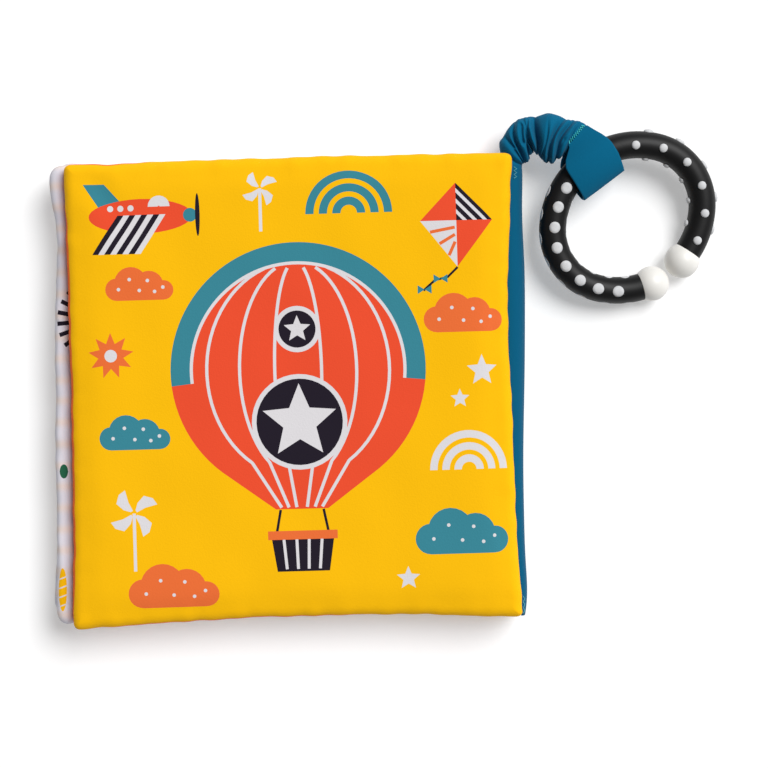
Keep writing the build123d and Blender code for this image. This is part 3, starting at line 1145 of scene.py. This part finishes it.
# Sides of the loop in the ring's frame: place towards the strap, left and right edges
LOOP_SIDES = np.array((
    (-9.3, -8.9, 8.4),
    (-6.8, -8.8, 8.9),
    (-3, -8.6, 9.7),
    (1.3, -8.4, 9.9),
    (3.2, -8, 9.6),
    (4.9, -6.6, 9.1),
    (7.7, -2.6, 8),
    (10.6, -1.7, 7),
))
LOOP_HEIGHT = 6.3
LOOP_CREST = 0.2
LOOP_REACH = 10.4
LOOP_CLOTH = 0.8
BARTACK_STEPS = 19
BARTACK_SHARES = (0.93, 0.98)
BARTACK_RADIUS = 0.21


def loop_point(side, share, across):
    """A point of the loop: side is 1 for the upper sheet and -1 for the lower one."""
    places, lefts, rights = LOOP_SIDES.T
    v = places[0] + share * (places[-1] - places[0])
    left, right = np.interp(v, places, lefts), np.interp(v, places, rights)
    u = left + (right - left) * across
    past = (v - LOOP_CREST) / LOOP_REACH
    lens = math.sqrt(max(0, 1 - past**2)) if past < 0 else 1 - 0.7 * smooth_step(past)
    edge = 1 - 0.12 * (2 * across - 1) ** 2
    w = side * LOOP_HEIGHT * lens * edge
    return RING_CENTRE + RING_U * u + RING_V * (RING_HALF_WIDTH + v) + RING_W * w


def make_loop():
    steps, columns = 46, 34
    shares = list(0.5 - 0.5 * np.cos(np.linspace(0, math.pi, steps)))
    path = [(-1, s) for s in shares[::-1]] + [(1, s) for s in shares[1:]]
    points = [loop_point(side, s, c / (columns - 1)) for side, s in path for c in range(columns)]
    loop = mesh_object("strap_loop", points, grid_faces(len(path), columns), ["strap"])
    thicken(loop, LOOP_CLOTH, 1)
    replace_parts(loop, "strap")
    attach(loop, "book_block")


def tube(points, radius, sides=6):
    """Points and faces of a thin tube along a line."""
    points = np.asarray(points, float)
    along = unit(np.gradient(points, axis=0))
    side = unit(np.cross(along, RING_W))
    lift = np.cross(side, along)
    out = []
    for p, a, b in zip(points, side, lift):
        for k in range(sides):
            turn = TURN * k / sides
            out.append(p + radius * (math.cos(turn) * a + math.sin(turn) * b))
    return out, grid_faces(len(points), sides, True)


def make_bartack():
    """Zigzag stitches across the loop's throat, leaning on the sleeve at their outer end."""
    line = []
    for step, along in enumerate(np.linspace(0, 1, BARTACK_STEPS)):
        lean = 1.6 * along * RING_V - 0.9 * along * RING_U + (1 - 0.9 * along**3) * RING_W
        line.append(loop_point(1, BARTACK_SHARES[step % 2], 0.04 + 0.92 * along) + lean)
    points, faces = tube(line, BARTACK_RADIUS)
    stitches = mesh_object("bartack", points, faces, ["thread"])
    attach(stitches, "book_block")


# Ring

def ring_station(length, side):
    """Point and outward normal on the tube's middle line, by length from the loop's middle."""
    turn = 0
    for radius, sweep, centre in RING_ARCS:
        part = min(length, radius * sweep)
        turn += part / radius
        length -= part
        if length <= 0:
            break
    out = np.array((math.sin(turn), math.cos(turn)))
    spot = centre + radius * out
    point = RING_CENTRE + RING_U * spot[0] * side + RING_V * spot[1]
    return point, RING_U * out[0] * side + RING_V * out[1]


def on_tube(length, side, around, reach):
    point, normal = ring_station(length, side)
    return point + reach * (math.cos(around) * RING_W + math.sin(around) * normal)


def cap_mesh(length, side, around, rings):
    """A small round cap on the tube; rings are (radius, height) from the middle out."""
    points = [on_tube(length, side, around, RING_TUBE + rings[0][1])]
    for radius, height in rings[1:]:
        for k in range(CAP_SIDES):
            turn = TURN * k / CAP_SIDES
            swing = around + radius * math.sin(turn) / RING_TUBE
            points.append(on_tube(length + radius * math.cos(turn), side, swing, RING_TUBE + height))
    faces = [(0, 1 + k, 1 + (k + 1) % CAP_SIDES) for k in range(CAP_SIDES)]
    for first in range(1, len(points) - CAP_SIDES, CAP_SIDES):
        for k in range(CAP_SIDES):
            a, b = first + k, first + (k + 1) % CAP_SIDES
            faces.append((a, a + CAP_SIDES, b + CAP_SIDES, b))
    return points, [f[::-1] for f in faces] if side < 0 else faces


def join_caps(name, caps, colour):
    points, faces = [], []
    for cap_points, cap_faces in caps:
        first = len(points)
        points.extend(cap_points)
        faces.extend(tuple(i + first for i in f) for f in cap_faces)
    piece = mesh_object(name, points, faces, [colour])
    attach(piece, "ring")
    return piece


def make_ring():
    half = sum(radius * sweep for radius, sweep, _ in RING_ARCS) - RING_FLAT * math.radians(RING_GAP_DEG)
    dome = [(NUB_RADIUS * math.sin(a), NUB_RISE * math.cos(a) ** 0.7) for a in np.radians(NUB_TURNS_DEG)]
    dome.append((NUB_RADIUS + 0.1, -0.3))
    flat = [(share * SPOT_RADIUS, SPOT_LIFT) for share in (0, 0.5, 1)] + [(SPOT_RADIUS + 0.05, -0.1)]
    nubs, spots = [], []
    for row in range(4):
        around = row * math.pi / 2
        length = NUB_FIRST + (row % 2) * NUB_PITCH / 2
        while length < half - NUB_END_GAP:
            nubs.append(cap_mesh(length, 1, around, dome))
            length += NUB_PITCH
        for step in range(SPOT_COUNT):
            length = SPOT_FIRST + (step + 0.5 * (row % 2)) * SPOT_PITCH
            if length < half - SPOT_END_GAP:
                spots.append(cap_mesh(length, -1, around, flat))
    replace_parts(join_caps("ring_nub_domes", nubs, "spot"), "ring_nubs")
    join_caps("ring_spots", spots, "spot")
    for node, colour in (("ring_sleeve", "rubber"), ("ring_balls", "ball")):
        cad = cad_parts[node]
        cad.data.materials.clear()
        cad.data.materials.append(MATERIALS[colour])


# Stage

def make_floor():
    corners = ((-1, -1), (1, -1), (1, 1), (-1, 1))
    points = [(x * FLOOR_REACH, y * FLOOR_REACH, FLOOR_Z) for x, y in corners]
    floor = mesh_object("floor", points, [(0, 1, 2, 3)], [])
    paint = bpy.data.materials.new("floor_white")
    paint.use_nodes = True
    set_inputs(paint.node_tree.nodes["Principled BSDF"], {
        "Base Color": (*[FLOOR_WHITE] * 3, 1), "Roughness": 1, "Specular IOR Level": 0,
        "Emission Color": (1, 1, 1, 1), "Emission Strength": FLOOR_GLOW,
    })
    floor.data.materials.append(paint)


def make_light():
    world = bpy.data.worlds.new("studio")
    world.use_nodes = True
    set_inputs(world.node_tree.nodes["Background"], {"Color": (1, 1, 1, 1), "Strength": WORLD_LEVEL})
    scene.world = world
    sun = bpy.data.lights.new("key", "SUN")
    sun.energy = SUN_LEVEL
    sun.angle = math.radians(SUN_SPREAD_DEG)
    key = bpy.data.objects.new("key", sun)
    key.rotation_euler = Vector(SUN_TRAVEL).to_track_quat("-Z", "Y").to_euler()
    scene.collection.objects.link(key)
    scene.view_settings.view_transform = "Standard"


def make_camera():
    data = bpy.data.cameras.new("camera")
    data.lens = CAMERA_LENS
    data.sensor_width = CAMERA_SENSOR
    data.clip_start = 0.01
    camera = bpy.data.objects.new("camera", data)
    camera.location = Vector(CAMERA_AT) * MM
    scene.collection.objects.link(camera)
    scene.camera = camera


make_camera()
make_floor()
make_light()
make_panels()
make_spine()
make_sleeve()
make_loop()
make_bartack()
make_ring()
